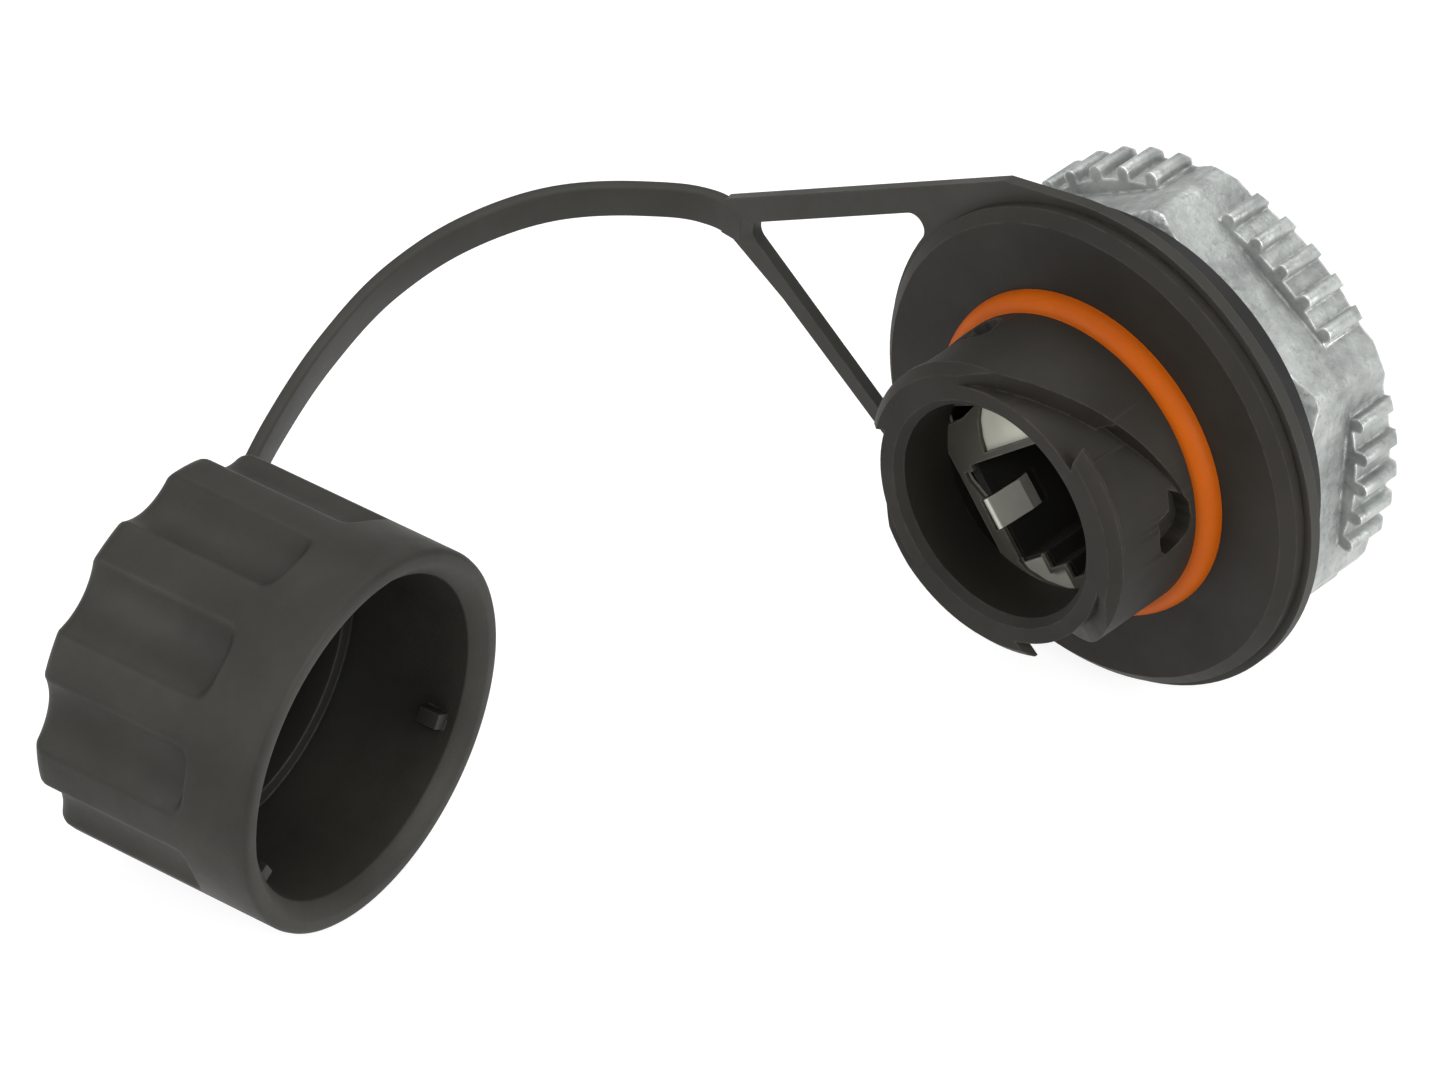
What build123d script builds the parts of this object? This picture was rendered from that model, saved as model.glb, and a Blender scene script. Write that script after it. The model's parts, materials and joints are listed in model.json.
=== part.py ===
from build123d import *
from math import atan2, cos, degrees, hypot, radians, sin, tan
import os

# Panel-mount bayonet socket with a cast locknut and a tethered sealing cap.
# Frame: Y is the socket's axis, from the mouth (-Y) through the panel to the rear (+Y); Z is up.
# The origin is on the axis, in the plane where the gasket meets the panel. Millimetres.
# Angles about the socket's axis run from +X towards +Z.

# ---- clearances ----
run_clear = 0.06        # radial running fit of the nut and the slip washer on the barrel
slide_clear = 0.08      # radial fit of the insert's blocks in the housing
swivel_clear = 0.05     # play on each face of the tether ring, and of the eyelet
ring_clear = 0.20       # radial clearance of the tether ring on the neck
gasket_clear = 0.10     # radial clearance of the panel gasket on the neck

# ---- stack along the axis ----
tube_len = 11.6         # mouth to flange face
flange_t = 1.9
ring_t = 1.1            # tether ring and strap thickness
gasket_t = 2.2
washer_t = 1.6
nut_len = 9.2
barrel_rear = 14.8      # barrel behind the panel plane

ring_back = -gasket_t - swivel_clear
ring_front = ring_back - ring_t
flange_back = ring_front - swivel_clear
flange_face = flange_back - flange_t
mouth = flange_face - tube_len

# ---- housing ----
bore_r = 9.5
bore_lead = 0.65        # entrance chamfer
mouth_face_r = 12.3
tube_r = 13.15
flange_face_r = 20.3
flange_r = 21.3
flange_bevel = 0.95
neck_r = 14.0           # thread's outer radius too
thread_pitch = 1.5
thread_depth = 0.85
thread_crest = 0.25
thread_start = 0.9      # plain neck behind the panel plane
barrel_chamfer = 0.7
seat_depth = 6.0        # mouth to the insert's front face
seat_r = 10.0
sleeve_depth = 10.6     # mouth to the shoulder the sleeve rests on
barrel_bore_r = 11.8

# ---- bayonet grooves: (angle, distance behind the mouth) along one groove ----
bayonet_count = 3
groove_floor_r = 11.5
entry_mid = 82.0        # directions the entry, the ramp and the pocket are milled from
ramp_mid = 31.0
pocket_mid = 9.0
entry_outline = (
    (112, -1.0), (108, 0.0), (96, 0.73), (85, 1.6), (75, 2.6), (65, 3.85), (55, 5.0), (52, 5.3), (52, -1.0),
)
ramp_outline = ((52.5, 1.2), (52.5, 5.25), (42, 6.4), (33, 7.3), (21, 8.5), (9, 9.2), (9, 1.2))
pocket_outline = (
    (21, 7.6), (18, 8.6), (14, 9.15), (8, 9.3), (3, 9.0), (0, 7.9), (-1.5, 6.2), (1, 5.6), (5, 5.4),
    (13, 5.5), (14.5, 7.0),
)
ramp_floor_r = 11.6     # the ramp's floor is a cylinder off the axis, so it rises to the tube's surface
ramp_floor_shift = 2.71
ramp_floor_heading = -40.0

# ---- insert ----
insert_roll = 41.0      # turn of the plug opening about the axis
plug_w = 13.2
plug_h = 8.8
plug_shift = 1.35       # opening's centre, towards the latch side
block_wall = 0.9
web_t = 0.4             # front plate, whose openings show the shield behind it
web_chord = 8.35        # middle to the flats on the plate's two sides
shield_t = 0.25
shield_setback = 0.3    # of the shield's edge from the plug opening's wall
front_cavity = 12.6     # web face to the divider
divider_t = 1.2
rear_disc_t = 1.4
latch_w = 7.2
latch_step_w = 3.4
latch_h = 1.35
sleeve_t = 0.5
retainer_t = 0.8
retainer_in_r = 10.4
retainer_groove = 0.5
retainer_land = 0.6     # barrel left behind the retaining ring
retainer_split = 4.0
# openings in the web, outside the plug opening, as (across, towards the latch)
web_top_gap = (
    (-4.3, -3.65), (4.3, -3.65), (3.9, -4.9), (3.2, -6.2), (2.2, -7.3), (-2.2, -7.3), (-3.2, -6.2), (-3.9, -4.9),
)
web_side_gap = (
    (3.95, 5.6), (6.9, 5.6), (6.5, 6.7), (5.2, 8.0), (3.2, 9.2), (2.1, 9.4), (2.1, 7.5), (3.95, 7.5),
)
web_side_notch = ((6.5, -2.5), (7.75, -2.6), (7.75, -1.8), (7.1, 0.1), (6.5, 0.1))
web_rim_notch = ((6.3, -8.4), (2.6, -7.6), (4.9, -6.9), (6.7, -6.8))
web_rim_slot = ((8.3, -6.3), (7.7, -6.2), (8.75, -4.8), (9.9, -4.2))

contact_count = 8
contact_pitch = 1.02
contact_w = 0.46
contact_t = 0.30
contact_rise = 2.2      # how far a free arm dips into the cavity
contact_arm = 6.0       # along the axis, from the bend to the free end
contact_hook = 2.4      # from the opening to the arm's bend
contact_bed = 0.40      # groove the wires lie in

spring_w = 2.7
spring_shift = 1.35     # middle of the spring, towards the latch
spring_t = 0.25
spring_fold_r = 0.30
spring_fold_out = 0.35  # fold's axis outside the plug opening's wall
spring_fold_stand = 0.1 # how far a fold stands in front of the plate
spring_crown = 0.5      # how far the leaf stands in the opening
spring_crown_at = 3.4
spring_tip_at = 4.7
spring_slot_len = 5.6

# ---- seals, washer, nut ----
tube_seal_w = 1.3       # on the flange
tube_seal_h = 1.7       # along the tube
gasket_r = 19.2
washer_r = 19.2
edge_break = 0.25
nut_flat = 17.5         # half the distance across flats
nut_corner_r = 19.85
nut_pad_r = 18.8
nut_rib_r = 20.0
nut_pad_start = 4.7     # nut's front face to the ribs
nut_ribs = 5            # on each flat
nut_rib_step = 9.0
nut_rib_w = 1.25
nut_edge = 0.6

# ---- tether ----
ring_r = 22.0
fork_angle = 176.9      # direction of the fork
fork_half = 32.6        # half the angle between the fork's arms
arm_w = 2.25
arm_stand = 0.7         # how far the lower arm's edge would pass outside the ring, were it straight
arm_lift = 0.4          # how much further out the upper arm runs
arm_waist = 1.0         # how much the lower arm draws in at the ring
arm_flare_from = 0.72   # where its flare starts and ends, as shares of its length
arm_flare_to = 0.93
arm_flare = 0.2
arm_blend = 20.0        # degrees along the ring, over which the upper arm leaves it
fork_fillet = 1.2
fork_setback = 1.13     # arms' meeting point to the strap's first bend
fork_lip = 0.35         # first bend to the end of the fork
fork_nose = 3.0         # length of the flat end the strap leaves
strap_w = 3.1
strap_angle = 177.5     # direction of the strap's first bend
strap_bow = 15.4        # how far the strap swings out to the side
hinge_gap = 0.05

arm_reach = ring_r + arm_stand
hinge_reach = arm_reach / sin(radians(fork_half)) - fork_setback

# ---- cap ----
cap_heading = 186.0     # direction of the cap's closed end in the XY plane
cap_rim_x = -20.1
cap_rim_y = -67.1
cap_len = 21.3
cap_r = 16.35
cap_bore_r = 13.85
cap_rim_edge = 0.5
cap_rim_lead = 1.15
cap_step_depth = 12.5
cap_step_r = 12.6
cap_floor_t = 2.4
cap_end_edge = 1.3
cap_flutes = 10
flute_floor_r = 15.0
flute_scoop_r = 5.5
flute_start = 6.2
flute_phase = 98.0
cap_lugs = 3
lug_tip_r = 12.55
lug_front = 1.95
lug_len = 2.0
lug_width = 6.0        # degrees
lug_phase = -28.0
cap_seal_t = 0.9
cap_seal_in_r = 9.0
stud_r = 2.4
stud_head_r = 3.5
stud_head_t = 1.0
eyelet_r = 4.8

# middle line of the strap, as (share of the way to the eyelet, share of the bow)
strap_shape = (
    (0, 0), (0.006, 0.13), (0.042, 0.40), (0.119, 0.746), (0.239, 0.952), (0.351, 0.978),
    (0.5, 0.851), (0.649, 0.621), (0.783, 0.353), (0.903, 0.118), (0.955, 0.03), (1, 0),
)


def turned(profile, mode=Mode.ADD):
    """Solid of revolution about the socket's axis, from (radius, y) points."""
    with BuildSketch(Plane.XY) as section:
        Polygon(*profile, align=None)
    revolve(section.sketch, axis=Axis.Y, mode=mode)


def across(y):
    """Plane across the socket's axis, seen from the mouth, with its normal towards the mouth."""
    return Plane(origin=(0, y, 0), x_dir=(1, 0, 0), z_dir=(0, -1, 0))


def polar(radius, angle):
    return (radius * cos(radians(angle)), radius * sin(radians(angle)))


def insert_plane(y):
    """Plane across the axis in the insert's own turn: first across the plug, then towards its latch."""
    return Plane(origin=(0, y, 0), x_dir=(cos(radians(insert_roll)), 0, sin(radians(insert_roll))), z_dir=(0, 1, 0))


def insert_side(offset):
    """Plane along the axis, square to the plug's width: first along Y, then towards the latch."""
    out = Vector(cos(radians(insert_roll)), 0, sin(radians(insert_roll)))
    return Plane(origin=out * offset, x_dir=(0, 1, 0), z_dir=-out)


def insert_floor(offset):
    """Plane along the axis, square to the plug's height: first across the plug, then along Y."""
    out = Vector(sin(radians(insert_roll)), 0, -cos(radians(insert_roll)))
    return Plane(origin=out * offset, x_dir=(cos(radians(insert_roll)), 0, sin(radians(insert_roll))), z_dir=-out)


def plug_outline(grow):
    """Plug opening with its latch notch, grown outwards."""
    top = plug_shift + plug_h / 2
    with Locations((0, plug_shift)):
        Rectangle(plug_w + 2 * grow, plug_h + 2 * grow)
    with Locations((0, top + (latch_h + grow - 1) / 2)):
        Rectangle(latch_w + 2 * grow, latch_h + grow + 1)
    with Locations((0, top + (2 * latch_h + grow - 1) / 2)):
        Rectangle(latch_step_w + 2 * grow, 2 * latch_h + grow + 1)


def strip(start, end, width):
    """Round-ended strip between two points of the sketch being built."""
    dx = end[0] - start[0]
    dy = end[1] - start[1]
    with Locations(((start[0] + end[0]) / 2, (start[1] + end[1]) / 2)):
        SlotCenterToCenter(hypot(dx, dy), width, rotation=degrees(atan2(dy, dx)))


def v_grooves(radius, depth, first, count):
    """Ring grooves of the thread's pitch, cut from a cylinder of this radius (negative depth: from a bore)."""
    width = thread_pitch - thread_crest
    for k in range(count):
        y = first + k * thread_pitch
        turned(((radius, y), (radius, y + width), (radius - depth, y + width / 2)), Mode.SUBTRACT)


def write(piece, name):
    piece.part.label = name
    export_step(piece.part, "parts/" + name + ".step")


os.makedirs("parts", exist_ok=True)

# positions along the axis of the pieces inside the barrel
web_face = mouth + seat_depth
divider_front = web_face + front_cavity
divider_back = divider_front + divider_t
retainer_front = barrel_rear - retainer_land - retainer_t
rear_disc_front = retainer_front - rear_disc_t
insert_r = seat_r - slide_clear


# ---- housing: mouth tube, flange, neck and threaded barrel ----
def groove_points(outline, middle):
    """One groove's outline, seen square on from its milling direction."""
    return [(tube_r * sin(radians(angle - middle)), -(mouth + behind)) for angle, behind in outline]


def mill(outline, middle):
    """Solid that a milling cutter takes out along one outline, square to its direction."""
    out = Vector(cos(radians(middle)), 0, sin(radians(middle)))
    along = (-sin(radians(middle)), 0, cos(radians(middle)))
    with BuildSketch(Plane(origin=(0, 0, 0), x_dir=along, z_dir=out)) as path:
        Polygon(*groove_points(outline, middle), align=None)
    extrude(path.sketch, amount=tube_r + 1)


with BuildPart() as grooves:
    mill(ramp_outline, ramp_mid)
    with BuildSketch(across(mouth)) as ramp_floor:
        with Locations(polar(ramp_floor_shift, ramp_floor_heading)):
            Circle(ramp_floor_r)
    extrude(ramp_floor.sketch, amount=-tube_len, mode=Mode.SUBTRACT)
    mill(entry_outline, entry_mid)
    mill(pocket_outline, pocket_mid)
    with BuildSketch(across(mouth)) as core:
        Circle(groove_floor_r)
    extrude(core.sketch, amount=tube_len, both=True, mode=Mode.SUBTRACT)

with BuildPart() as housing:
    turned((
        (bore_r + bore_lead, mouth),
        (mouth_face_r, mouth),
        (tube_r, mouth + tube_r - mouth_face_r),
        (tube_r, flange_face),
        (flange_face_r, flange_face),
        (flange_r, flange_face + flange_bevel),
        (flange_r, flange_back),
        (neck_r, flange_back),
        (neck_r, barrel_rear - barrel_chamfer),
        (neck_r - barrel_chamfer, barrel_rear),
        (barrel_bore_r, barrel_rear),
        (barrel_bore_r, mouth + sleeve_depth),
        (seat_r, mouth + sleeve_depth),
        (seat_r, web_face),
        (bore_r, web_face),
        (bore_r, mouth + bore_lead),
    ))
    for k in range(bayonet_count):
        add(grooves.part.rotate(Axis.Y, 360 / bayonet_count * k), mode=Mode.SUBTRACT)
    v_grooves(neck_r, thread_depth, thread_start, int((barrel_rear - barrel_chamfer - thread_start) / thread_pitch))
    turned((
        (barrel_bore_r - 0.1, retainer_front),
        (barrel_bore_r + retainer_groove, retainer_front),
        (barrel_bore_r + retainer_groove, retainer_front + retainer_t),
        (barrel_bore_r - 0.1, retainer_front + retainer_t),
    ), Mode.SUBTRACT)
write(housing, "housing")

# ---- orange seal on the mouth tube, resting on the flange ----
with BuildPart() as tube_seal:
    with BuildSketch(Plane.XY) as cord:
        with Locations((tube_r, flange_face)):
            Ellipse(tube_seal_w, tube_seal_h)
            Rectangle(tube_seal_w, tube_seal_h, align=(Align.MIN, Align.MAX), mode=Mode.INTERSECT)
    revolve(cord.sketch, axis=Axis.Y)
write(tube_seal, "tube_seal")


# ---- gasket and slip washer ----
def flat_ring(y, thick, inner, outer, edge):
    """Flat ring behind y with its outer edges broken."""
    turned((
        (inner, y),
        (outer - edge, y),
        (outer, y + edge),
        (outer, y + thick - edge),
        (outer - edge, y + thick),
        (inner, y + thick),
    ))


with BuildPart() as panel_gasket:
    flat_ring(-gasket_t, gasket_t, neck_r + gasket_clear, gasket_r, edge_break)
write(panel_gasket, "panel_gasket")

with BuildPart() as slip_washer:
    flat_ring(0, washer_t, neck_r + run_clear, washer_r, edge_break)
write(slip_washer, "slip_washer")

# ---- locknut: spanner flats in front, ribbed grip behind ----
nut_front = washer_t
nut_back = nut_front + nut_len
rib_front = nut_front + nut_pad_start
with BuildPart() as locknut:
    with BuildSketch(across(nut_front)):
        RegularPolygon(nut_flat, 6, major_radius=False, rotation=30)
    extrude(amount=-nut_len)
    turned((
        (0, nut_front),
        (nut_corner_r - 1.6 * nut_edge, nut_front),
        (nut_corner_r, nut_front + nut_edge),
        (nut_corner_r, nut_back),
        (0, nut_back),
    ), Mode.INTERSECT)
    turned(((0, rib_front), (nut_pad_r, rib_front), (nut_pad_r, nut_back), (0, nut_back)))
    with BuildSketch(across(rib_front)) as ribs:
        for flat in range(6):
            for k in range(nut_ribs):
                angle = 60 * flat + (k - (nut_ribs - 1) / 2) * nut_rib_step
                strip(polar(nut_pad_r - nut_rib_w, angle), polar(nut_rib_r - nut_rib_w / 2, angle), nut_rib_w)
    extrude(ribs.sketch, amount=-(nut_back - rib_front))
    turned((
        (0, nut_front),
        (nut_rib_r, nut_front),
        (nut_rib_r, nut_back - nut_edge),
        (nut_rib_r - nut_edge, nut_back),
        (0, nut_back),
    ), Mode.INTERSECT)
    with BuildSketch(across(nut_front)) as nut_bore:
        Circle(neck_r + run_clear)
    extrude(nut_bore.sketch, amount=-nut_len, mode=Mode.SUBTRACT)
    v_grooves(neck_r + run_clear, -thread_depth, nut_front + 0.6, int((nut_len - 1) / thread_pitch))
write(locknut, "locknut")

# ---- insert: positions shared by its pieces ----
bed_v = plug_shift - plug_h / 2         # wall the contacts lie on
contact_v = bed_v - contact_bed + contact_t / 2
spring_slot_w = spring_w + 2 * slide_clear
fold_u = plug_w / 2 + spring_fold_out   # the springs' folds, either side of the opening
fold_y = web_face + spring_fold_r - spring_fold_stand


def contact_positions():
    """Offsets of the contacts across the plug."""
    return [(k - (contact_count - 1) / 2) * contact_pitch for k in range(contact_count)]


def contact_beds(y0, y1):
    """Grooves in the wall the contacts lie on, between two positions along the axis."""
    with BuildSketch(insert_plane(y0)) as beds:
        with Locations(*[(u, bed_v) for u in contact_positions()]):
            Rectangle(contact_w, 2 * contact_bed)
    extrude(beds.sketch, amount=y1 - y0, mode=Mode.SUBTRACT)


def plate_outline():
    """Disc with two flats and the notches and slots in its rim, in the sketch being built."""
    Circle(insert_r)
    Rectangle(2 * web_chord, 2 * insert_r, mode=Mode.INTERSECT)
    for side in (1, -1):
        Polygon(*[(side * u, v) for u, v in web_rim_notch], align=None, mode=Mode.SUBTRACT)
        Polygon(*[(side * u, v) for u, v in web_rim_slot], align=None, mode=Mode.SUBTRACT)


def side_notches():
    """Notches in the opening's two sides, above the springs, in the sketch being built."""
    for side in (1, -1):
        Polygon(*[(side * u, v) for u, v in web_side_notch], align=None, mode=Mode.SUBTRACT)


def front_opening(y0, y1, setback=0):
    """The plug's opening and the springs' slots beside it, between two positions along the axis."""
    with BuildSketch(insert_plane(y0)) as opening:
        plug_outline(setback)
    extrude(opening.sketch, amount=y1 - y0, mode=Mode.SUBTRACT)
    with BuildSketch(insert_plane(web_face)) as spring_slots:
        with Locations(*[(side * (plug_w + block_wall) / 2, spring_shift) for side in (1, -1)]):
            Rectangle(block_wall + 0.01, spring_slot_w)
    extrude(spring_slots.sketch, amount=spring_slot_len, mode=Mode.SUBTRACT)


shield_front = web_face + web_t
block_front = shield_front + shield_t

# ---- front plate, whose openings show in the mouth ----
with BuildPart() as front_plate:
    with BuildSketch(insert_plane(web_face)) as web:
        plate_outline()
        Polygon(*web_top_gap, align=None, mode=Mode.SUBTRACT)
        for side in (1, -1):
            Polygon(*[(side * u, v) for u, v in web_side_gap], align=None, mode=Mode.SUBTRACT)
        side_notches()
    extrude(web.sketch, amount=web_t)
    front_opening(web_face, shield_front)
write(front_plate, "front_plate")

# ---- shield plate between the front plate and the block ----
with BuildPart() as shield_plate:
    with BuildSketch(insert_plane(shield_front)) as sheet:
        plate_outline()
        side_notches()
    extrude(sheet.sketch, amount=shield_t)
    front_opening(shield_front, block_front, shield_setback)
write(shield_plate, "shield_plate")

# ---- jack block, the plug's housing behind the shield plate ----
with BuildPart() as jack_block:
    with BuildSketch(insert_plane(block_front)) as body:
        plug_outline(block_wall)
    extrude(body.sketch, amount=divider_back - block_front)
    with BuildSketch(insert_plane(block_front)) as round_body:
        Circle(insert_r)
    extrude(round_body.sketch, amount=divider_back - block_front, mode=Mode.INTERSECT)
    front_opening(block_front, divider_front)
    contact_beds(web_face + contact_hook - contact_t / 2, divider_back)
write(jack_block, "jack_block")

# ---- rear block: the same opening towards the cable side, on a disc that closes the barrel ----
with BuildPart() as rear_block:
    with BuildSketch(insert_plane(divider_back)) as body:
        plug_outline(block_wall)
    extrude(body.sketch, amount=retainer_front - divider_back)
    with BuildSketch(insert_plane(rear_disc_front)) as rear_disc:
        Circle(barrel_bore_r - slide_clear)
    extrude(rear_disc.sketch, amount=rear_disc_t)
    with BuildSketch(insert_plane(divider_back)) as rear_opening:
        plug_outline(0)
    extrude(rear_opening.sketch, amount=retainer_front - divider_back, mode=Mode.SUBTRACT)
    contact_beds(divider_back, retainer_front - contact_hook + contact_t / 2)
write(rear_block, "rear_block")

# ---- contacts: one wire each, with a free arm dipping into each opening ----
for number, offset in enumerate(contact_positions(), start=1):
    with BuildPart() as contact:
        with BuildSketch(insert_side(offset)) as wire:
            bends = (web_face + contact_hook, retainer_front - contact_hook)
            strip((bends[0], contact_v), (bends[1], contact_v), contact_t)
            strip((bends[0], contact_v), (bends[0] + contact_arm, contact_v + contact_rise), contact_t)
            strip((bends[1], contact_v), (bends[1] - contact_arm, contact_v + contact_rise), contact_t)
        extrude(wire.sketch, amount=contact_w / 2, both=True)
    write(contact, f"contact_{number}")

# ---- shield sleeve and retaining ring ----
with BuildPart() as shield_sleeve:
    turned((
        (barrel_bore_r - swivel_clear - sleeve_t, mouth + sleeve_depth),
        (barrel_bore_r - swivel_clear, mouth + sleeve_depth),
        (barrel_bore_r - swivel_clear, rear_disc_front),
        (barrel_bore_r - swivel_clear - sleeve_t, rear_disc_front),
    ))
write(shield_sleeve, "shield_sleeve")

with BuildPart() as retaining_ring:
    with BuildSketch(across(retainer_front)) as split_ring:
        Circle(barrel_bore_r + retainer_groove - swivel_clear)
        Circle(retainer_in_r, mode=Mode.SUBTRACT)
        with Locations((0, -barrel_bore_r)):
            Rectangle(retainer_split, 4, mode=Mode.SUBTRACT)
    extrude(split_ring.sketch, amount=-retainer_t)
write(retaining_ring, "retaining_ring")

# ---- side springs: leaves folded over the web's edge, either side of the opening ----
for side, name in ((1, "side_spring_right"), (-1, "side_spring_left")):
    with BuildPart() as side_spring:
        with BuildSketch(insert_floor(spring_shift)) as leaf:
            root = (side * (fold_u - spring_fold_r + spring_t / 2), fold_y)
            crown = (side * ((plug_w + spring_t) / 2 - spring_crown), web_face + spring_crown_at)
            with Locations((side * fold_u, fold_y)):
                Circle(spring_fold_r)
            strip(root, crown, spring_t)
            strip(crown, (side * plug_w / 2, web_face + spring_tip_at), spring_t)
        extrude(leaf.sketch, amount=spring_w / 2, both=True)
    write(side_spring, name)

# ---- cap: rim centre, heading of its closed end, and planes across its axis ----
cap_rim = Vector(cap_rim_x, cap_rim_y, cap_r - ring_r)
heading = Vector(cos(radians(cap_heading)), sin(radians(cap_heading)), 0)
cap_side = Vector(heading.Y, -heading.X, 0)


def cap_plane(depth):
    """Plane across the cap's axis at a depth behind its rim, with Z up and its normal out of the cap's mouth."""
    return Plane(origin=cap_rim + heading * depth, x_dir=cap_side, z_dir=-heading)


def wedge(radius, middle, width):
    """Triangle from the centre, spanning a width in degrees."""
    Polygon((0, 0), polar(radius, middle - width / 2), polar(radius, middle + width / 2), align=None)


stud_end = cap_len + ring_t + 2 * swivel_clear
with BuildPart() as sealing_cap:
    with BuildSketch(Plane(origin=cap_rim, x_dir=cap_side, z_dir=(0, 0, 1))) as half_section:
        Polygon(
            (cap_bore_r + cap_rim_lead, 0),
            (cap_r - cap_rim_edge, 0),
            (cap_r, cap_rim_edge),
            (cap_r, cap_len - cap_end_edge),
            (cap_r - 0.3 * cap_end_edge, cap_len - 0.3 * cap_end_edge),
            (cap_r - cap_end_edge, cap_len),
            (stud_r, cap_len),
            (stud_r, stud_end),
            (stud_head_r, stud_end),
            (stud_head_r, stud_end + 0.6 * stud_head_t),
            (stud_head_r - 0.4 * stud_head_t, stud_end + stud_head_t),
            (0, stud_end + stud_head_t),
            (0, cap_len - cap_floor_t),
            (cap_step_r, cap_len - cap_floor_t),
            (cap_step_r, cap_step_depth),
            (cap_bore_r, cap_step_depth),
            (cap_bore_r, cap_rim_lead),
            align=None,
        )
    revolve(half_section.sketch, axis=Axis(cap_rim, heading))
    with BuildSketch(cap_plane(flute_start)) as flutes:
        with PolarLocations(flute_floor_r + flute_scoop_r, cap_flutes, start_angle=flute_phase):
            Circle(flute_scoop_r)
    extrude(flutes.sketch, amount=flute_start - cap_len, mode=Mode.SUBTRACT)
    with BuildSketch(cap_plane(lug_front)) as lugs:
        for k in range(cap_lugs):
            wedge(2 * cap_r, lug_phase + 360 / cap_lugs * k, lug_width)
        Circle(cap_bore_r + 0.5, mode=Mode.INTERSECT)
        Circle(lug_tip_r, mode=Mode.SUBTRACT)
    extrude(lugs.sketch, amount=-lug_len)
write(sealing_cap, "sealing_cap")

with BuildPart() as cap_seal:
    with BuildSketch(cap_plane(cap_len - cap_floor_t - cap_seal_t)) as disc:
        Circle(cap_step_r - gasket_clear)
        Circle(cap_seal_in_r, mode=Mode.SUBTRACT)
    extrude(disc.sketch, amount=-cap_seal_t)
write(cap_seal, "cap_seal")

# ---- strap: a ribbon on edge, from the fork's end to an eyelet on the cap's stud ----
hinge_x, hinge_z = polar(hinge_reach, strap_angle)
first_bend = Vector(hinge_x, (ring_front + ring_back) / 2, hinge_z)
eyelet_centre = cap_rim + heading * (cap_len + swivel_clear + ring_t / 2)
sideways = Vector(1, 0, 0)
run = eyelet_centre - first_bend
run = (run - sideways * run.dot(sideways)).normalized()
strap_plane = Plane(origin=first_bend, x_dir=sideways, z_dir=sideways.cross(run))
strap_end = strap_plane.to_local_coords(eyelet_centre)


def ribbon_side(middle, shift):
    """Points beside the strap's middle line, a constant distance off it."""
    stations = [k / 24 for k in range(25)]
    return [middle @ t + Vector(-(middle % t).Y, (middle % t).X) * shift for t in stations]


with BuildLine():
    strap_middle = Spline(*[(strap_end.X * a - strap_bow * b, strap_end.Y * a) for a, b in strap_shape])

with BuildPart() as tether_strap:
    near_side = ribbon_side(strap_middle, ring_t / 2)
    far_side = ribbon_side(strap_middle, -ring_t / 2)
    with BuildSketch(strap_plane):
        with BuildLine():
            Spline(*near_side)
            Spline(*far_side)
            Line(near_side[0], far_side[0])
            Line(near_side[-1], far_side[-1])
        make_face()
        Circle(ring_t / 2)
    extrude(amount=strap_w / 2, both=True)
    with BuildSketch(cap_plane(cap_len + swivel_clear)) as eyelet:
        Circle(eyelet_r)
    extrude(eyelet.sketch, amount=-ring_t)
    with BuildSketch(cap_plane(cap_len + ring_t / 2)) as stud_hole:
        Circle(stud_r + run_clear)
    extrude(stud_hole.sketch, amount=2 * ring_t, both=True, mode=Mode.SUBTRACT)
    with BuildSketch(cap_plane(stud_end - swivel_clear)) as head_room:
        Circle(stud_head_r + swivel_clear)
    extrude(head_room.sketch, amount=-2 * ring_t, mode=Mode.SUBTRACT)
write(tether_strap, "tether_strap")


# ---- tether ring with its fork ----
def arm_point(side, share, reach):
    """Point of an arm's edge: its share of the way from the ring to the tip, and its distance from the axis."""
    square = fork_angle + side * (90 - fork_half)
    foot_x, foot_z = polar(reach, square)
    step_x, step_z = polar(share * arm_reach / tan(radians(fork_half)), square - side * 90)
    return (foot_x + step_x, foot_z + step_z)


upper_inner = arm_reach + arm_lift - arm_w
lower_inner = arm_reach - arm_w
window_mean = (upper_inner + lower_inner) / 2 / sin(radians(fork_half))
window_rise = (upper_inner - lower_inner) / 2 / cos(radians(fork_half))
window_tip = Vector(*polar(window_mean, fork_angle)) + Vector(*polar(window_rise, fork_angle - 90))

with BuildPart() as tether_ring:
    with BuildSketch(across(ring_front)) as window:
        upper_foot = arm_point(-1, 0, upper_inner)
        lower_foot = arm_point(1, 0, lower_inner)
        Polygon((0, 0), upper_foot, (window_tip.X, window_tip.Y), lower_foot, align=None)
        Circle(ring_r, mode=Mode.SUBTRACT)
        fillet(window.vertices(), fork_fillet)
    with BuildSketch(across(ring_front)) as outline:
        Circle(ring_r)
        Polygon(
            (0, 0),
            polar(ring_r, fork_angle - 90 + fork_half - arm_blend),
            arm_point(-1, 0, arm_reach + arm_lift),
            polar((arm_reach + arm_lift) / sin(radians(fork_half)), fork_angle),
            align=None,
        )
        Polygon(
            (0, 0),
            polar(hinge_reach, fork_angle),
            arm_point(1, arm_flare_to, arm_reach + arm_flare),
            arm_point(1, arm_flare_from, arm_reach - 0.6 * arm_waist),
            arm_point(1, 0, arm_reach - arm_waist),
            align=None,
        )
        with Locations(Location((*polar(hinge_reach - fork_nose / 2, strap_angle), 0), (0, 0, strap_angle))):
            Rectangle(fork_nose, strap_w)
        Circle(neck_r + ring_clear, mode=Mode.SUBTRACT)
    extrude(outline.sketch, amount=-ring_t)
    extrude(window.sketch, amount=-ring_t, mode=Mode.SUBTRACT)
    with BuildSketch(strap_plane) as seat:
        Circle(ring_t / 2 + hinge_gap)
        with Locations((fork_lip - fork_nose, 0)):
            Rectangle(2 * fork_nose, 2 * fork_nose)
    extrude(seat.sketch, amount=strap_w, both=True, mode=Mode.SUBTRACT)
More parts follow.
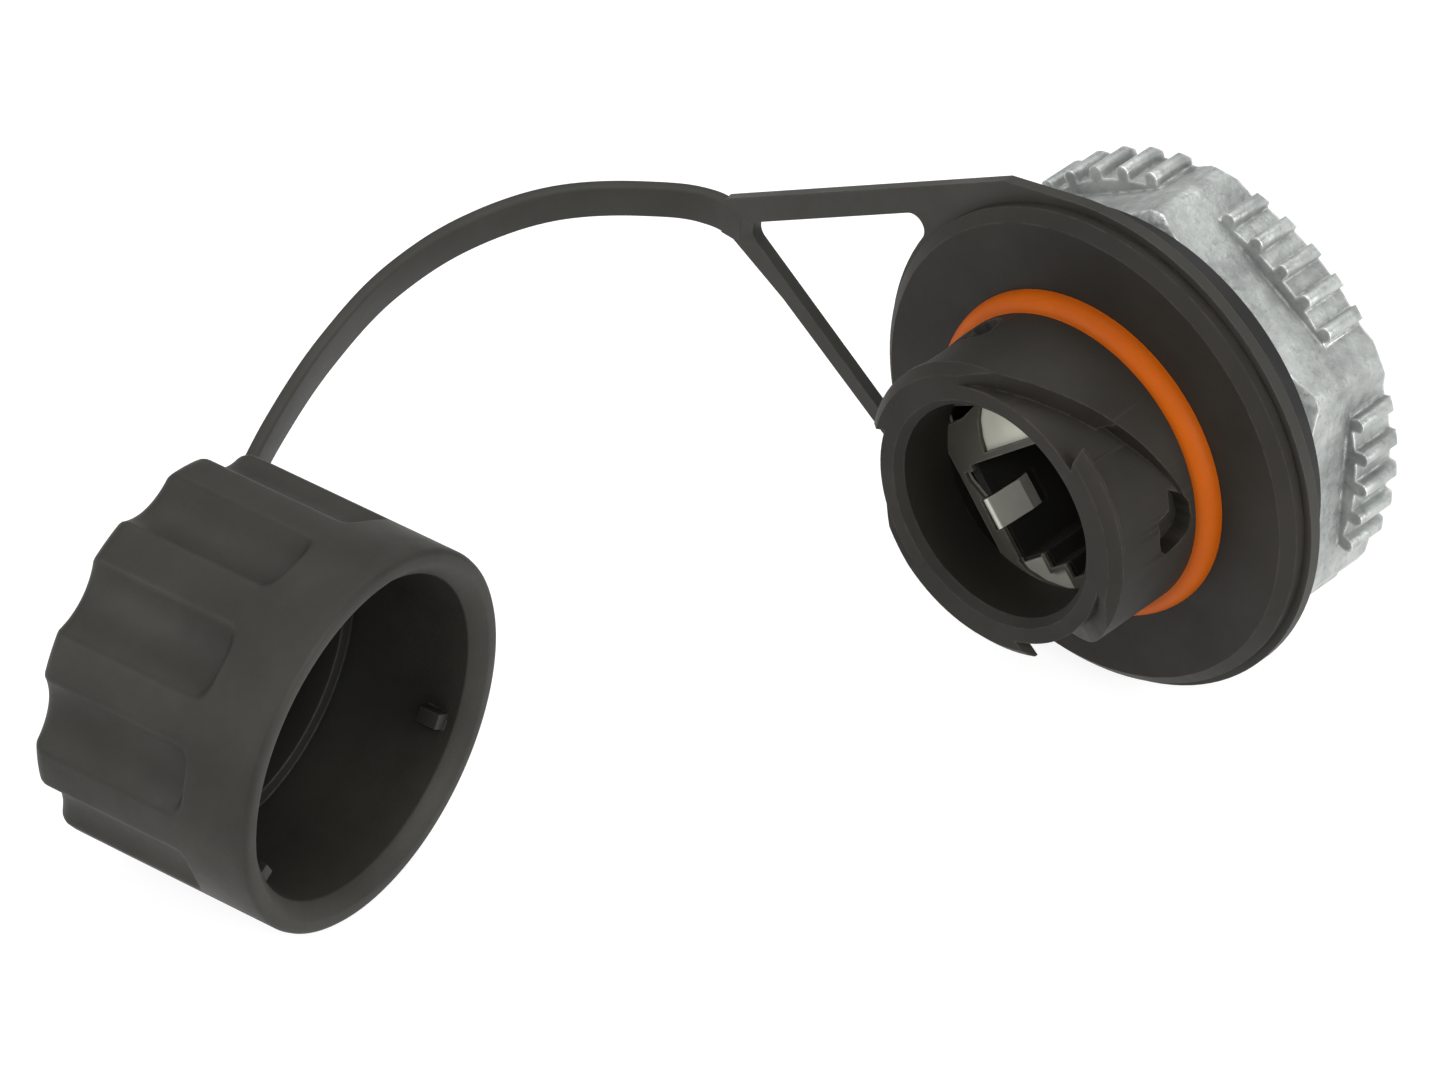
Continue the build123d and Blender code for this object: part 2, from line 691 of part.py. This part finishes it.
write(tether_ring, "tether_ring")
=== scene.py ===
import json
from math import cos, pi, radians, sin, sqrt

import bpy
from mathutils import Matrix, Vector


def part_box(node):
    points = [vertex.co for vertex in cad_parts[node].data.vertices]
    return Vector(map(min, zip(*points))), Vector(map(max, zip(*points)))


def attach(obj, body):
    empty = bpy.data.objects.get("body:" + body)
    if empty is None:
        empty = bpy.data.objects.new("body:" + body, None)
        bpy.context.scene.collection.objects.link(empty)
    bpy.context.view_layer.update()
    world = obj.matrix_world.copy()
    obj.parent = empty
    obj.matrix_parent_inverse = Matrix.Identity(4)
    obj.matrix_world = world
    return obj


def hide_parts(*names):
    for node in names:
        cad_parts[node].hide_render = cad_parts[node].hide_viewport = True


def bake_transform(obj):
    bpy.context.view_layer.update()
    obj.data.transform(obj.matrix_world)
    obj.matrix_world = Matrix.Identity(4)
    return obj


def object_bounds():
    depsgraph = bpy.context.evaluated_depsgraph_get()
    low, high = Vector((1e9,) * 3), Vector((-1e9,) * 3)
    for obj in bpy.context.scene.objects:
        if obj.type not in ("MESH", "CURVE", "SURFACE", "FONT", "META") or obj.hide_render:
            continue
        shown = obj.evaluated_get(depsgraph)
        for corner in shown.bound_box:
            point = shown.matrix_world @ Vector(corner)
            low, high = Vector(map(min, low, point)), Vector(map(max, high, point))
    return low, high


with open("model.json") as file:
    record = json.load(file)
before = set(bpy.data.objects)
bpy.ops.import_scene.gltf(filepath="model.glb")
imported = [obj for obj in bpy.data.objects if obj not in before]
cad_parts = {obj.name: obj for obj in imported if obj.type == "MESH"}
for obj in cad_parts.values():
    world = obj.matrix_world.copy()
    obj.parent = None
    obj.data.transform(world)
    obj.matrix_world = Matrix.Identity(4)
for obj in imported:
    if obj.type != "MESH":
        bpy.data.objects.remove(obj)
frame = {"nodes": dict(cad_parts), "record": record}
nodes = frame["nodes"]
cad_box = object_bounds()

MM = 0.001


# ---------------------------------------------------------------- materials
class Shader:
    """One material's node tree, with a few shorthands."""

    def __init__(self, name):
        self.material = bpy.data.materials.new(name)
        self.material.use_nodes = True
        self.tree = self.material.node_tree
        self.surface = self.tree.nodes["Principled BSDF"]
        self.place = self.tree.nodes.new("ShaderNodeTexCoord").outputs["Object"]

    def link(self, source, target):
        self.tree.links.new(source, target)

    def noise(self, scale, detail=4.0, roughness=0.5, stretch=(1, 1, 1)):
        """Noise in object space; scale is in features per metre."""
        mapping = self.tree.nodes.new("ShaderNodeMapping")
        mapping.inputs["Scale"].default_value = stretch
        self.link(self.place, mapping.inputs["Vector"])
        node = self.tree.nodes.new("ShaderNodeTexNoise")
        node.inputs["Scale"].default_value = scale
        node.inputs["Detail"].default_value = detail
        node.inputs["Roughness"].default_value = roughness
        self.link(mapping.outputs["Vector"], node.inputs["Vector"])
        return node.outputs["Fac"]

    def cells(self, scale):
        node = self.tree.nodes.new("ShaderNodeTexVoronoi")
        node.inputs["Scale"].default_value = scale
        self.link(self.place, node.inputs["Vector"])
        return node.outputs["Distance"]

    def ramp(self, source, stops):
        """Colour or grey ramp; stops are (position, colour or grey)."""
        node = self.tree.nodes.new("ShaderNodeValToRGB")
        elements = node.color_ramp.elements
        while len(elements) < len(stops):
            elements.new(0.5)
        for element, (position, value) in zip(elements, stops):
            element.position = position
            grey = (value, value, value) if isinstance(value, (int, float)) else value
            element.color = (*grey, 1)
        self.link(source, node.inputs["Fac"])
        return node.outputs["Color"]

    def mix(self, amount, first, second):
        """Blend of two colours; each is a socket or three numbers."""
        node = self.tree.nodes.new("ShaderNodeMix")
        node.data_type = "RGBA"
        for value, socket in ((first, node.inputs[6]), (second, node.inputs[7])):
            if isinstance(value, tuple):
                socket.default_value = (*value, 1)
            else:
                self.link(value, socket)
        self.link(amount, node.inputs[0])
        return node.outputs[2]

    def math(self, operation, first, second):
        node = self.tree.nodes.new("ShaderNodeMath")
        node.operation = operation
        self.link(first, node.inputs[0])
        self.link(second, node.inputs[1])
        return node.outputs["Value"]

    def edge_wear_and_glint(self, reach, patchiness=700):
        """Grey mask that is white, in patches, within a small reach of every edge; used to lighten edges
        for wear and for a painted highlight.
        """
        rounded = self.tree.nodes.new("ShaderNodeBevel")
        rounded.samples = 6
        rounded.inputs["Radius"].default_value = reach
        plain = self.tree.nodes.new("ShaderNodeNewGeometry")
        turned = self.tree.nodes.new("ShaderNodeVectorMath")
        turned.operation = "DOT_PRODUCT"
        self.link(rounded.outputs["Normal"], turned.inputs[0])
        self.link(plain.outputs["Normal"], turned.inputs[1])
        edge = self.ramp(turned.outputs["Value"], ((0.93, 1.0), (0.995, 0.0)))
        patches = self.ramp(self.noise(patchiness, 3, 0.6), ((0.4, 0.15), (0.6, 1.0)))
        return self.math("MULTIPLY", edge, patches)

    def crevices(self, reach):
        """Grey that falls towards black in corners narrower than the reach."""
        node = self.tree.nodes.new("ShaderNodeAmbientOcclusion")
        node.samples = 8
        node.only_local = True
        node.inputs["Distance"].default_value = reach
        return node.outputs["AO"]

    def height(self, low, high):
        """Grey that rises from 0 to 1 between two heights in object space."""
        parts = self.tree.nodes.new("ShaderNodeSeparateXYZ")
        self.link(self.place, parts.inputs["Vector"])
        span = self.tree.nodes.new("ShaderNodeMapRange")
        span.inputs["From Min"].default_value = low
        span.inputs["From Max"].default_value = high
        self.link(parts.outputs["Z"], span.inputs["Value"])
        return span.outputs["Result"]

    def bump(self, layers):
        """Stacked bumps; layers are (height socket, depth in metres)."""
        normal = None
        for height, depth in layers:
            node = self.tree.nodes.new("ShaderNodeBump")
            node.inputs["Strength"].default_value = 1.0
            node.inputs["Distance"].default_value = depth
            self.link(height, node.inputs["Height"])
            if normal is not None:
                self.link(normal, node.inputs["Normal"])
            normal = node.outputs["Normal"]
        self.link(normal, self.surface.inputs["Normal"])


def moulding(name, dark, light, roughness, grain, rub_and_glint_gain, shine=0.25, shade_reach=0.0):
    """Moulded polymer whose tone drifts slowly, with a fine grain, optional painted shade in its hollows,
    and edges lightened by wear and by a painted highlight.

    Grain is the depth of the texture in metres; the edge gain is the rise in tone at the edges, partly
    wear and partly a painted highlight; and the shade reach, in metres, is how far into hollows the
    painted shade reaches.
    """
    s = Shader(name)
    tone = s.ramp(s.noise(70, 5, 0.6), ((0.35, dark), (0.7, light)))
    # painted shade: hollows narrower than the reach darken towards a third of the dark tone
    if shade_reach:
        hollow_shade_tone = tuple(0.35 * c for c in dark)
        tone = s.mix(s.ramp(s.crevices(shade_reach), ((0.3, 0.1), (0.9, 1.0))), hollow_shade_tone, tone)
    # edges lighten in patches: partly wear, partly a painted highlight
    rub_and_glint_tone = tuple(min(1.0, rub_and_glint_gain * c) for c in light)
    s.link(s.mix(s.edge_wear_and_glint(0.00025), tone, rub_and_glint_tone), s.surface.inputs["Base Color"])
    smear = s.noise(160, 6, 0.65, (1, 0.35, 1))
    rough = s.ramp(smear, ((0.3, roughness - 0.07), (0.75, roughness + 0.09)))
    s.link(rough, s.surface.inputs["Roughness"])
    s.bump(((s.noise(3800, 3, 0.6), grain), (s.noise(420, 3, 0.5), grain * 2)))
    s.surface.inputs["Specular IOR Level"].default_value = shine
    return s.material


def housing_plastic():
    return moulding(
        "housing_plastic", (0.0108, 0.0094, 0.0071), (0.0180, 0.0157, 0.0121),
        roughness=0.58, grain=0.000010, rub_and_glint_gain=2.2, shine=0.22,
    )


def plate_plastic():
    return moulding(
        "plate_plastic", (0.048, 0.046, 0.037), (0.070, 0.068, 0.055),
        roughness=0.5, grain=0.000008, rub_and_glint_gain=1.8,
    )


def insert_plastic():
    return moulding(
        "insert_plastic", (0.012, 0.0115, 0.010), (0.020, 0.0195, 0.0165),
        roughness=0.5, grain=0.000008, rub_and_glint_gain=1.8,
    )


def washer_plastic():
    return moulding(
        "washer_plastic", (0.010, 0.010, 0.010), (0.017, 0.017, 0.016),
        roughness=0.5, grain=0.00001, rub_and_glint_gain=1.3,
    )


def cap_plastic():
    # painted shade darkens the cup's inside and its scoops
    return moulding(
        "cap_plastic", (0.0185, 0.0178, 0.0148), (0.030, 0.0288, 0.0242),
        roughness=0.55, grain=0.00002, rub_and_glint_gain=1.6, shine=0.2, shade_reach=0.012,
    )


def tether_rubber():
    return moulding(
        "tether_rubber", (0.020, 0.0193, 0.0160), (0.030, 0.0288, 0.0245),
        roughness=0.55, grain=0.000012, rub_and_glint_gain=1.4,
    )


def gasket_rubber():
    return moulding(
        "gasket_rubber", (0.009, 0.009, 0.009), (0.016, 0.016, 0.015),
        roughness=0.7, grain=0.000015, rub_and_glint_gain=1.3,
    )


def orange_silicone():
    return moulding(
        "orange_silicone", (0.335, 0.061, 0.0004), (0.42, 0.081, 0.0008),
        roughness=0.5, grain=0.000008, rub_and_glint_gain=1.05, shine=0.12,
    )


def metal(name, dark, light, roughness, grain, scale, stretch=(1, 1, 1), metallic=1.0, foot_shade_tones=None):
    """Plated or drawn metal, with a drawn grain along one direction.

    Where given, the pair of darker tones of the painted shade towards the metal's foot.
    """
    s = Shader(name)
    s.surface.inputs["Metallic"].default_value = metallic
    tone = s.ramp(s.noise(300, 5, 0.6), ((0.3, dark), (0.7, light)))
    bright = tuple(min(1.0, 1.15 * c) for c in light)
    # edges lighten in patches: partly wear, partly a painted highlight
    wear_and_painted_light = s.mix(s.edge_wear_and_glint(0.0001), tone, bright)
    # painted shade: where given, the metal darkens towards its foot
    if foot_shade_tones:
        foot = s.ramp(s.noise(300, 5, 0.6), ((0.3, foot_shade_tones[0]), (0.7, foot_shade_tones[1])))
        wear_and_painted_light = s.mix(s.height(-0.004, 0.004), foot, wear_and_painted_light)
    s.link(wear_and_painted_light, s.surface.inputs["Base Color"])
    drawn = s.noise(scale, 4, 0.6, stretch)
    rough = s.ramp(drawn, ((0.3, roughness - 0.06), (0.7, roughness + 0.1)))
    s.link(rough, s.surface.inputs["Roughness"])
    s.bump(((drawn, grain),))
    return s.material


def nickel():
    return metal(
        "nickel", (0.70, 0.69, 0.62), (0.84, 0.83, 0.76),
        roughness=0.3, grain=0.000002, scale=900, stretch=(1, 0.08, 1),
    )


def leaf_nickel():
    """Satin plating on the thin side springs."""
    return metal(
        "leaf_nickel", (0.60, 0.59, 0.52), (0.68, 0.67, 0.60),
        roughness=0.36, grain=0.000001, scale=500, stretch=(1, 0.3, 1), metallic=0.45,
    )


def shield_sheet():
    """Tinned sheet that scatters the light through the plate's openings, with painted shade darkening it
    towards its foot.
    """
    return metal(
        "shield_sheet", (0.50, 0.50, 0.42), (0.60, 0.60, 0.51),
        roughness=0.6, grain=0.000003, scale=700, stretch=(1, 0.2, 1), metallic=0.15,
        foot_shade_tones=((0.22, 0.22, 0.19), (0.28, 0.28, 0.245)),
    )


def spring_steel():
    return metal(
        "spring_steel", (0.13, 0.13, 0.13), (0.22, 0.22, 0.22),
        roughness=0.4, grain=0.000004, scale=1200,
    )


def contact_gold():
    return metal(
        "contact_gold", (0.78, 0.55, 0.22), (0.9, 0.68, 0.32),
        roughness=0.24, grain=0.000002, scale=1600, stretch=(1, 0.1, 1),
    )


def cast_zinc():
    """Tumbled die casting: mottled grey skin with fine pits, painted shade in its hollows, and crests
    lightened partly by wear and partly by a painted highlight.
    """
    s = Shader("cast_zinc")
    s.surface.inputs["Metallic"].default_value = 0.4
    dark, light, bright = (0.22, 0.231, 0.225), (0.42, 0.440, 0.426), (0.80, 0.82, 0.80)
    pit, hollow_shade_tone = (0.17, 0.18, 0.175), (0.10, 0.106, 0.103)
    mottle = s.ramp(s.noise(260, 8, 0.68), ((0.32, dark), (0.64, light)))
    pits = s.ramp(s.noise(1500, 5, 0.7), ((0.33, 0.45), (0.44, 1.0)))
    skin = s.mix(pits, pit, mottle)
    # painted shade: darker in hollows and between the ribs
    skin = s.mix(s.ramp(s.crevices(0.0016), ((0.3, 0.35), (0.75, 1.0))), hollow_shade_tone, skin)
    # crests lighten in patches: partly wear from tumbling, partly a painted highlight
    crest = s.edge_wear_and_glint(0.0004)
    s.link(s.mix(crest, skin, bright), s.surface.inputs["Base Color"])
    rough = s.ramp(s.noise(420, 6, 0.65), ((0.3, 0.34), (0.7, 0.52)))
    s.link(s.mix(crest, rough, (0.24, 0.24, 0.24)), s.surface.inputs["Roughness"])
    dents, grit, tumbled = s.noise(330, 6, 0.6), s.noise(1300, 4, 0.6), s.cells(520)
    s.bump(((dents, 0.00028), (grit, 0.00006), (tumbled, 0.00008)))
    return s.material


def floor_paint():
    """White sheet that glows a little, so that shadows on it stay faint."""
    s = Shader("floor_paint")
    s.link(s.ramp(s.noise(6, 3, 0.5), ((0.3, 0.24), (0.7, 0.27))), s.surface.inputs["Base Color"])
    s.surface.inputs["Roughness"].default_value = 0.8
    s.surface.inputs["Emission Color"].default_value = (1, 1, 1, 1)
    s.surface.inputs["Emission Strength"].default_value = 0.84
    s.bump(((s.noise(900, 2, 0.5), 0.00001),))
    return s.material


MATERIALS = {
    make.__name__: make()
    for make in (
        housing_plastic, plate_plastic, insert_plastic, washer_plastic, cap_plastic, tether_rubber,
        gasket_rubber, orange_silicone, nickel, leaf_nickel, shield_sheet, spring_steel, contact_gold,
        cast_zinc,
    )
}


def dress(obj, slot):
    obj.data.materials.clear()
    obj.data.materials.append(MATERIALS[slot])
    for face in obj.data.polygons:
        face.material_index = 0
    return obj


def soften(obj, width, segments=2, angle=30):
    """Small rounded edges, as every moulded or cast edge has."""
    weld = obj.modifiers.new("weld", "WELD")
    weld.merge_threshold = 0.000002
    edge = obj.modifiers.new("edge", "BEVEL")
    edge.width = width
    edge.segments = segments
    edge.limit_method = "ANGLE"
    edge.angle_limit = radians(angle)
    edge.use_clamp_overlap = True
    flat = obj.modifiers.new("flat", "WEIGHTED_NORMAL")
    flat.weight = 100
    flat.keep_sharp = True
    return obj


SLOTS = {row["node"]: row["material_slot"] for row in frame["record"]["subparts"]}
# pieces whose surface differs from the rest of their slot
FINISHES = {
    "front_plate": "plate_plastic",
    "shield_plate": "shield_sheet",
    "side_spring_left": "leaf_nickel",
    "side_spring_right": "leaf_nickel",
}
# widths of the rounded edges, in millimetres
EDGES = {
    "housing": 0.12, "locknut": 0.25, "tether_ring": 0.12,
    "retaining_ring": 0.05, "slip_washer": 0.05, "panel_gasket": 0.05, "front_plate": 0.05,
}
for name, obj in nodes.items():
    dress(obj, FINISHES.get(name, SLOTS[name]))
    for face in obj.data.polygons:
        face.use_smooth = True
    if name in EDGES:
        soften(obj, EDGES[name] * MM)


# ---------------------------------------------------------------- smooth meshes for the soft pieces
def grid_mesh(rows):
    """Points and faces of a skin over rows of points; each row closes on itself."""
    count = len(rows[0])
    points = [point for row in rows for point in row]
    faces = []
    for r in range(len(rows) - 1):
        here, there = r * count, (r + 1) * count
        for k in range(count):
            n = (k + 1) % count
            faces.append((here + k, here + n, there + n, there + k))
    return points, faces


def make_object(name, parts, slot):
    """One object from several (points, faces) shells, smooth-shaded."""
    points, faces = [], []
    for some_points, some_faces in parts:
        base = len(points)
        points += some_points
        faces += [tuple(base + i for i in face) for face in some_faces]
    data = bpy.data.meshes.new(name)
    data.from_pydata(points, [], faces)
    data.validate()
    for face in data.polygons:
        face.use_smooth = True
    obj = bpy.data.objects.new(name, data)
    bpy.context.scene.collection.objects.link(obj)
    dress(obj, slot)
    return obj


JOINTS = {joint["name"]: joint for joint in frame["record"]["behaviour"]["joints"]}
cap_rim = Vector(JOINTS["cap_swivel"]["pos_m"])
heading = Vector(JOINTS["cap_swivel"]["axis"]).normalized()
cap_side = Vector((heading.y, -heading.x, 0))
UPWARDS = Vector((0, 0, 1))


def cap_point(radius, angle, depth):
    """Point of the cap, in millimetres and radians, behind its rim."""
    return cap_rim + (heading * depth + (cap_side * cos(angle) + UPWARDS * sin(angle)) * radius) * MM


# the cap: a turned cup whose outside carries ten scoops, shallow at their front ends
CAP_R, CAP_LEN, CAP_BORE, CAP_EDGE, CAP_FLOOR_T = 16.35, 21.3, 13.85, 1.3, 2.4
RIM_R, RIM_ROUND = 15.85, 0.5
SEAL_R, SEAL_SEAT = 12.6, 12.5
STUD_R, STUD_HEAD_R, STUD_TOP = 2.4, 3.5, 23.5
SCOOPS, SCOOP_PHASE, SCOOP_R, SCOOP_FLOOR, SCOOP_START = 10, radians(98), 5.5, 15.0, 6.2
# a scoop's front end curves back at its sides and sinks in over a short ramp
SCOOP_CURL, SCOOP_HALF, SCOOP_RAMP = 0.5, 0.19, 0.9
# a scoop's side edges are rounded over within a small reach, and trimmed to end on the cap's outside
SCOOP_ROUND, SCOOP_TRIM, SCOOP_REACH = 0.004, 0.03, -0.2
LUGS, LUG_PHASE, LUG_HALF, LUG_TIP_R, LUG_ROOT_R, LUG_FRONT, LUG_BACK = 3, -28, 3, 12.55, 14.1, 1.95, 3.95
AXIS_R = 0.02


def smooth(value):
    value = max(0.0, min(1.0, value))
    return value * value * (3 - 2 * value)


def scoop_depth(angle, depth):
    """How far the nearest scoop lies under the cap's outside."""
    pitch = 2 * pi / SCOOPS
    offset = (angle - SCOOP_PHASE + pitch / 2) % pitch - pitch / 2
    centre = SCOOP_FLOOR + SCOOP_R
    reach = SCOOP_R**2 - (centre * sin(offset)) ** 2
    if reach <= 0:
        return 0.0
    cut = CAP_R - (centre * cos(offset) - sqrt(reach))
    if cut <= SCOOP_REACH:
        return 0.0
    soft = 0.5 * (cut + sqrt(cut * cut + SCOOP_ROUND)) - SCOOP_TRIM
    front = SCOOP_START + SCOOP_CURL * (offset / SCOOP_HALF) ** 4
    return max(0.0, soft) * smooth((depth - front) / SCOOP_RAMP)


def cap_shell(segments=360):
    angles = [2 * pi * k / segments for k in range(segments)]
    inside_floor = CAP_LEN - CAP_FLOOR_T
    profile = [(AXIS_R, inside_floor), (6, inside_floor), (SEAL_R, inside_floor), (SEAL_R, 15.5)]
    profile += [(SEAL_R, SEAL_SEAT), (CAP_BORE, SEAL_SEAT), (CAP_BORE, 8), (CAP_BORE, 4), (CAP_BORE, 1.15)]
    profile += [(15.0, 0.04), (15.25, 0), (RIM_R, 0)]
    for turn in (radians(30), radians(60)):
        profile.append((RIM_R + RIM_ROUND * sin(turn), RIM_ROUND * (1 - cos(turn))))
    rows = [[cap_point(r, a, d) for a in angles] for r, d in profile]
    fronts = [5.9 + 0.15 * k for k in range(13)]
    for depth in [0.5, 1.5, 3, 4.5, 5.6] + fronts + [8.5, 11, 14, 17, 19, CAP_LEN - CAP_EDGE]:
        rows.append([cap_point(CAP_R - scoop_depth(a, depth), a, depth) for a in angles])
    for turn in (15, 30, 45, 60, 75, 90):
        drop = CAP_EDGE * (1 - cos(radians(turn)))
        depth = CAP_LEN - CAP_EDGE * (1 - sin(radians(turn)))
        rows.append([cap_point(CAP_R - scoop_depth(a, CAP_LEN) - drop, a, depth) for a in angles])
    stud = [(12, CAP_LEN), (6, CAP_LEN), (STUD_R, CAP_LEN), (STUD_R, 22.5), (STUD_HEAD_R, 22.5)]
    stud += [(STUD_HEAD_R, 23.1), (3.1, STUD_TOP), (AXIS_R, STUD_TOP)]
    rows += [[cap_point(r, a, d) for a in angles] for r, d in stud]
    return grid_mesh(rows)


def lug(middle):
    """Block on the cap's bore that runs in a bayonet groove."""
    corners = [
        cap_point(r, radians(middle + side * LUG_HALF), d)
        for d in (LUG_FRONT, LUG_BACK)
        for r in (LUG_TIP_R, LUG_ROOT_R)
        for side in (-1, 1)
    ]
    faces = [(0, 1, 3, 2), (4, 6, 7, 5), (0, 4, 5, 1), (2, 3, 7, 6), (0, 2, 6, 4), (1, 5, 7, 3)]
    return corners, faces


lugs = [lug(LUG_PHASE + 360 / LUGS * k) for k in range(LUGS)]
cap = make_object("cap_skin", [cap_shell()] + lugs, "cap_plastic")
edge = cap.modifiers.new("edge", "BEVEL")
edge.width = 0.12 * MM
edge.segments = 3
edge.limit_method = "ANGLE"
edge.angle_limit = radians(38)
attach(cap, "cap")
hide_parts("sealing_cap")

# the strap: a ribbon on edge, one with the fork's nose at one end and with the eyelet at the other
bend_at = Vector(JOINTS["strap_flex"]["pos_m"])
bend_axis = Vector(JOINTS["strap_flex"]["axis"]).normalized()
SIDEWAYS = Vector((1, 0, 0))
run = SIDEWAYS.cross(bend_axis)
eyelet_centre = cap_rim + heading * (CAP_LEN + 0.6) * MM
span = eyelet_centre - bend_at
STRAP_BOW = 15.4 * MM
# the ribbon's middle: share of the way to the eyelet, and share of the bow
STRAP_SHAPE = (
    (0, 0), (0.006, 0.13), (0.042, 0.40), (0.119, 0.746), (0.239, 0.952), (0.351, 0.978),
    (0.5, 0.851), (0.649, 0.621), (0.783, 0.353), (0.903, 0.118), (0.955, 0.03), (1, 0),
)
STRAP_HALF_T, STRAP_HALF_W, STRAP_ROUND = 0.565, 1.565, 0.25
NOSE_LEN, TWIST_LEN = 2.4, 5
NOSE = radians(177.5)


def smooth_path(points, steps):
    """Curve through the points, with each point's slope from its neighbours."""
    lengths = [(points[k + 1] - points[k]).length for k in range(len(points) - 1)]
    slopes = []
    for k in range(len(points)):
        before = (points[k] - points[k - 1]) / lengths[k - 1] if k > 0 else None
        after = (points[k + 1] - points[k]) / lengths[k] if k < len(points) - 1 else None
        if before is None or after is None:
            slopes.append(after or before)
        else:
            total = lengths[k - 1] + lengths[k]
            slopes.append((before * lengths[k] + after * lengths[k - 1]) / total)
    curve = []
    for k, length in enumerate(lengths):
        for step in range(steps):
            t = step / steps
            a, b = 2 * t**3 - 3 * t**2 + 1, t**3 - 2 * t**2 + t
            c, d = -2 * t**3 + 3 * t**2, t**3 - t**2
            start = points[k] * a + slopes[k] * length * b
            curve.append(start + points[k + 1] * c + slopes[k + 1] * length * d)
    return curve + [points[-1]]


def strap_ribbon():
    inward = Vector((-cos(NOSE), 0, -sin(NOSE)))
    nose_width = Vector((sin(NOSE), 0, -cos(NOSE)))
    points = [bend_at + inward * length * MM for length in (NOSE_LEN, 1.6, 0.8)]
    for share, bow in STRAP_SHAPE:
        sideways = SIDEWAYS * (span.dot(SIDEWAYS) * share - STRAP_BOW * bow)
        points.append(bend_at + sideways + run * span.dot(run) * share)
    curve = smooth_path(points, 10)
    rows, travelled = [], -NOSE_LEN * MM
    for k, point in enumerate(curve):
        ahead = (curve[min(k + 1, len(curve) - 1)] - curve[max(k - 1, 0)]).normalized()
        if k:
            travelled += (point - curve[k - 1]).length
        width = nose_width.lerp(bend_axis, smooth(travelled / (TWIST_LEN * MM))).normalized()
        width = (width - ahead * width.dot(ahead)).normalized()
        thick = ahead.cross(width)
        row = []
        for corner_x, corner_y, start in ((1, 1, 0), (-1, 1, 90), (-1, -1, 180), (1, -1, 270)):
            for turn in (0, 30, 60, 90):
                angle = radians(start + turn)
                x = corner_x * (STRAP_HALF_T - STRAP_ROUND) + STRAP_ROUND * cos(angle)
                y = corner_y * (STRAP_HALF_W - STRAP_ROUND) + STRAP_ROUND * sin(angle)
                row.append(point + (thick * x + width * y) * MM)
        rows.append(row)
    points, faces = grid_mesh(rows)
    around, last = len(rows[0]), len(points)
    return points, faces + [tuple(range(around)), tuple(range(last - around, last))[::-1]]


def eyelet():
    """Ring on the cap's stud that the ribbon ends in."""
    angles = [2 * pi * k / 72 for k in range(72)]
    hole_r, rim_r, front, back = 2.5, 4.8, 21.36, 22.44
    section = [(hole_r, front), (rim_r - 0.15, front), (rim_r, front + 0.14), (rim_r, back - 0.14)]
    section += [(rim_r - 0.15, back), (hole_r, back), (hole_r, front)]
    return grid_mesh([[cap_point(r, a, d) for a in angles] for r, d in section])


strap = make_object("strap_skin", [strap_ribbon(), eyelet()], "tether_rubber")
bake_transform(strap)
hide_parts("tether_strap")

# ---------------------------------------------------------------- floor, light, camera
ground = min(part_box(name)[0].z for name in nodes)
bpy.ops.mesh.primitive_plane_add(size=6, location=(0, 0, ground))
floor = bpy.context.object
floor.name = "floor"
floor.data.materials.append(floor_paint())

world = bpy.data.worlds.new("studio")
world.use_nodes = True
world.node_tree.nodes["Background"].inputs["Color"].default_value = (1, 1, 1, 1)
world.node_tree.nodes["Background"].inputs["Strength"].default_value = 0.5
bpy.context.scene.world = world


def soft_box(name, place, target, size, power):
    """Square area light that points at a target."""
    data = bpy.data.lights.new(name, "AREA")
    data.size = size
    data.energy = power
    lamp = bpy.data.objects.new(name, data)
    lamp.location = place
    lamp.rotation_euler = (Vector(target) - Vector(place)).to_track_quat("-Z", "Y").to_euler()
    bpy.context.scene.collection.objects.link(lamp)


middle = (Vector(cad_box[0]) + Vector(cad_box[1])) / 2
soft_box("top_box", middle + Vector((-0.15, 0.25, 0.9)), middle, 0.9, 6)
soft_box("front_box", middle + Vector((-0.5, -0.9, 0.5)), middle, 0.7, 7)
soft_box("camera_box", middle + Vector((0.5, -0.68, 0.72)), middle, 0.35, 2.2)
soft_box("side_box", middle + Vector((0.9, 0.1, 0.35)), middle, 0.6, 7)

# the camera as the photograph was taken: its azimuth runs from the mouth's side towards +X
CAMERA_AZIMUTH, CAMERA_ELEVATION, CAMERA_ROLL = radians(39.92), radians(37.62), radians(2.63)
CAMERA_DISTANCE = 797.5 * MM
AIM_FROM_MOUTH = Vector((-15.22, -15.115, -2.37)) * MM
mouth = Vector((0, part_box("housing")[0].y, 0))
across = Vector((sin(CAMERA_AZIMUTH), -cos(CAMERA_AZIMUTH), 0)) * cos(CAMERA_ELEVATION)
towards_camera = across + UPWARDS * sin(CAMERA_ELEVATION)
camera_place = mouth + AIM_FROM_MOUTH + towards_camera * CAMERA_DISTANCE
camera_data = bpy.data.cameras.new("camera")
camera_data.lens = 250
camera_data.sensor_width = 36
camera_data.clip_end = 20
camera = bpy.data.objects.new("camera", camera_data)
level = towards_camera.to_track_quat("Z", "Y").to_matrix().to_4x4()
roll = Matrix.Rotation(CAMERA_ROLL, 4, "Z")
camera.matrix_world = Matrix.Translation(camera_place) @ level @ roll
bpy.context.scene.collection.objects.link(camera)
bpy.context.scene.camera = camera
bpy.context.scene.view_settings.view_transform = "Standard"
